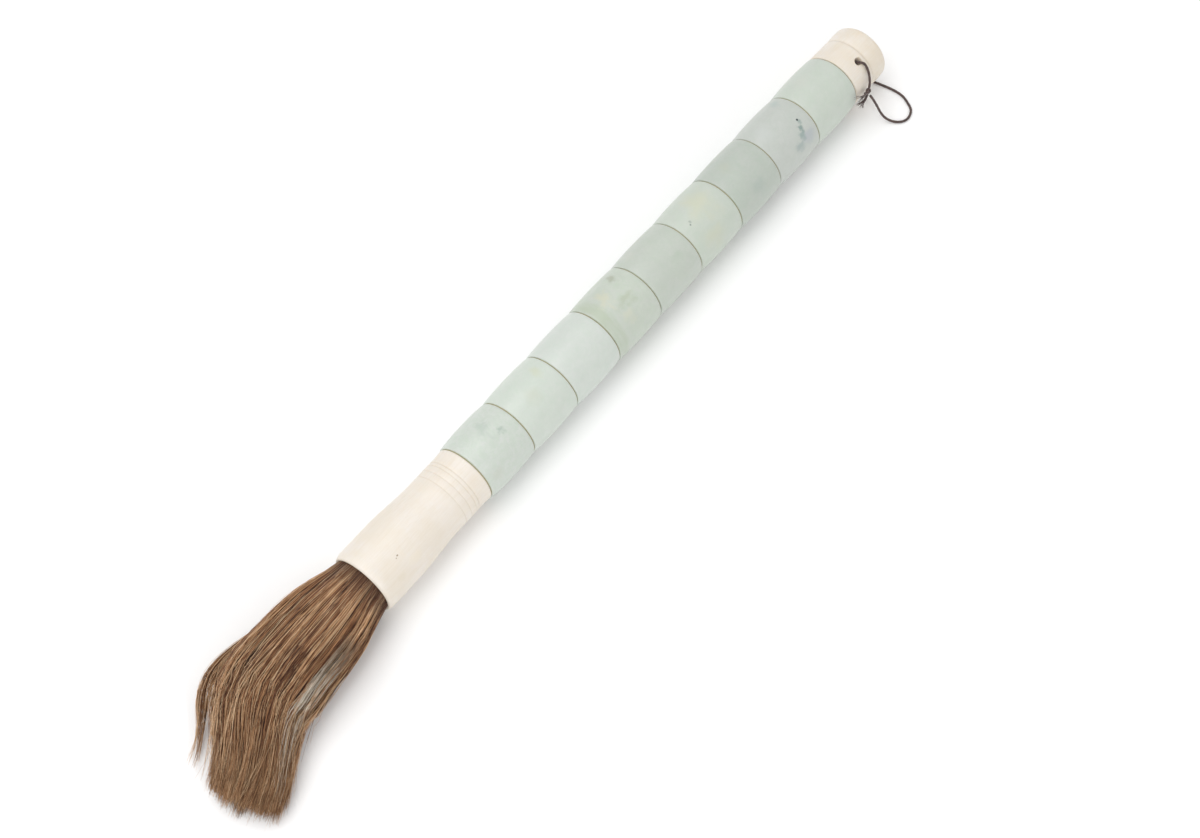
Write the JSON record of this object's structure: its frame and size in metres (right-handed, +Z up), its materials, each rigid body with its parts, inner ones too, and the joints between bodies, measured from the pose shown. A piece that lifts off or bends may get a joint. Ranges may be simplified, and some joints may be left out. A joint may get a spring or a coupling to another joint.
{
  "type": "calligraphy brush",
  "caption": "Large calligraphy brush with a jade bead handle, bone sleeve and end cap, a bent tuft of brown hair that flexes at its root, and a knotted hang cord.",
  "frame": {"origin": "bottom centre of the brush as it lies on a table, without its hang cord", "axes": "+X along the handle from the hair to the end cap, +Z up from the table, -Y the side that the hair is bent to and the hang cord lies on"},
  "size_m": [0.3742, 0.0509, 0.0252],
  "materials": {
    "jade_pale": "polished",
    "jade_grey": "polished",
    "jade_sage": "polished",
    "jade_cream": "polished",
    "bone": "satin",
    "cement": "matte",
    "wood": "raw",
    "rosin": "gloss",
    "thread": "matte",
    "hair": "soft",
    "cord": "waxed"
  },
  "bodies": {
    "handle": {"bone_sleeve": "bone", "sleeve_plug": "wood", "hair_root_bundle": "hair", "root_binding": "thread", "root_cement": "rosin", "cement_seam_1": "cement", "jade_bead_1": "jade_pale", "cement_seam_2": "cement", "jade_bead_2": "jade_pale", "cement_seam_3": "cement", "jade_bead_3": "jade_pale", "cement_seam_4": "cement", "jade_bead_4": "jade_sage", "cement_seam_5": "cement", "jade_bead_5": "jade_pale", "cement_seam_6": "cement", "jade_bead_6": "jade_cream", "cement_seam_7": "cement", "jade_bead_7": "jade_sage", "cement_seam_8": "cement", "jade_bead_8": "jade_grey", "cement_seam_9": "cement", "jade_bead_9": "jade_grey", "cement_seam_10": "cement", "core_rod": "wood", "end_cap": "bone", "hang_cord": "cord", "cord_knot": "cord", "cord_tail_1": "cord", "cord_tail_2": "cord"},
    "tuft": {"hair_mantle": "hair", "hair_pillar": "hair", "hair_stray_lock": "hair"}
  },
  "joints": [
    {"name": "tuft_flex", "type": "hinge", "parent": "handle", "child": "tuft", "pos_m": [-0.10005, 0.00283, 0.0126], "axis": [0, 0, 1], "range_deg": [-25, 25], "stiffness_Nm_per_rad": 0.036}
  ]
}
